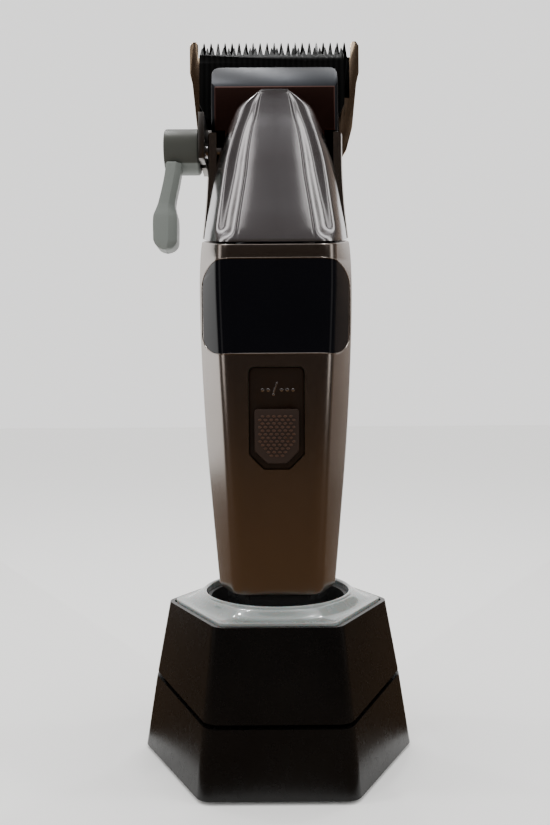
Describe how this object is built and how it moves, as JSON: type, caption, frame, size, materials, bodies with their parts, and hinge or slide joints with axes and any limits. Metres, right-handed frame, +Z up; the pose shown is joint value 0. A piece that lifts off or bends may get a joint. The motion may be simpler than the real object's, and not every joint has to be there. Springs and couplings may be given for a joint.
{
  "type": "cordless hair clipper with charging dock",
  "caption": "Cordless hair clipper with a fluted metal nose, black display window, thumb slider and taper lever, standing in a hexagonal charging dock with a light ring.",
  "frame": {"origin": "centre of the dock's footprint, on the surface it stands on", "axes": "+Z up, towards the blade teeth; -Y towards the display and switch; +X to the right when facing the display"},
  "size_m": [0.07, 0.0618, 0.1879],
  "materials": {
    "dock_plastic": "satin black moulded",
    "dock_inner": "matt dark grey moulded",
    "light_ring": "frosted translucent grey, polished edges",
    "rubber_black": "matt",
    "screw_steel": "plated",
    "ballast_steel": "plain",
    "board_green": "solder-masked board",
    "led_white": "white board with diodes",
    "contact_brass": "plated",
    "port_steel": "plated",
    "casing_gunmetal": "satin dark nickel",
    "nose_silver": "satin silver grey",
    "cap_black": "satin black moulded",
    "window_black": "high gloss black",
    "display_dark": "unlit display",
    "switch_black": "satin",
    "slider_brown": "satin brown black, dimpled",
    "switch_body": "matt",
    "battery_wrap": "shrink film",
    "frame_plastic": "moulded",
    "motor_steel": "plated can",
    "shaft_steel": "ground",
    "bearing_bronze": "sintered bronze",
    "base_grey": "brushed blue-grey bevel",
    "spring_steel": "spring wire",
    "cutter_black": "black coated",
    "driver_plastic": "natural",
    "blade_steel": "polished and ground",
    "carrier_grey": "satin",
    "lever_grey": "satin"
  },
  "bodies": {
    "dock": {"dock_lower_shell": "dock_plastic", "dock_upper_shell": "dock_plastic", "dock_light_ring": "light_ring", "dock_socket_cup": "dock_inner", "dock_base_plate": "dock_plastic", "dock_rubber_feet": "rubber_black", "dock_base_screws": "screw_steel", "dock_ballast": "ballast_steel", "dock_board": "board_green", "dock_power_inlet": "port_steel", "dock_led_ring": "led_white", "dock_contact_tower": "dock_inner"},
    "pin_left": {"dock_pin_left": "contact_brass"},
    "pin_right": {"dock_pin_right": "contact_brass"},
    "clipper": {"front_shell": "casing_gunmetal", "rear_shell": "casing_gunmetal", "head_housing": "casing_gunmetal", "nose_cover": "nose_silver", "end_cap": "cap_black", "charge_contacts": "contact_brass", "charge_port": "port_steel", "display_window": "window_black", "display_panel": "display_dark", "switch_plate": "switch_black", "micro_switch": "switch_body", "main_board": "board_green", "battery": "battery_wrap", "chassis": "frame_plastic", "housing_screws": "screw_steel", "motor": "motor_steel", "motor_mount": "frame_plastic", "shaft_bearing": "bearing_bronze", "blade_base": "base_grey", "cutter_spring": "spring_steel", "lever_axle": "screw_steel"},
    "switch": {"switch_slider": "slider_brown"},
    "rotor": {"motor_shaft": "shaft_steel", "eccentric": "shaft_steel"},
    "cutter": {"cutter_blade": "cutter_black", "cutter_driver": "driver_plastic"},
    "blade": {"fixed_blade": "blade_steel", "blade_carrier": "carrier_grey", "blade_screws": "screw_steel"},
    "lever": {"taper_lever": "lever_grey"}
  },
  "joints": [
    {"name": "clipper_lift", "type": "slide", "parent": "dock", "child": "clipper", "axis": [0, 0, 1], "range_m": [0, 0.06]},
    {"name": "pin_left_press", "type": "slide", "parent": "dock", "child": "pin_left", "axis": [0, 0, -1], "range_m": [0, 0.0008], "stiffness_N_per_m": 150},
    {"name": "pin_right_press", "type": "slide", "parent": "dock", "child": "pin_right", "axis": [0, 0, -1], "range_m": [0, 0.0008], "stiffness_N_per_m": 150},
    {"name": "switch_slide", "type": "slide", "parent": "clipper", "child": "switch", "axis": [0, -0.042, 0.9991], "range_m": [0, 0.0028]},
    {"name": "motor_spin", "type": "hinge", "parent": "clipper", "child": "rotor", "pos_m": [0, 0.0005, 0.13], "axis": [0, 0, 1], "continuous": true},
    {"name": "cutter_stroke", "type": "slide", "parent": "clipper", "child": "cutter", "axis": [1, 0, 0], "range_m": [-0.0006, 0.002]},
    {"name": "lever_turn", "type": "hinge", "parent": "clipper", "child": "lever", "pos_m": [-0.0239, 0, 0.155], "axis": [-1, 0, 0], "range_deg": [0, 38.6]},
    {"name": "blade_rise", "type": "slide", "parent": "clipper", "child": "blade", "axis": [0, 0, 1], "range_m": [0, 0.00199]}
  ],
  "couplings": [
    {"joint": "lever_turn", "follows": "blade_rise", "rad_per_m": 337.6}
  ]
}
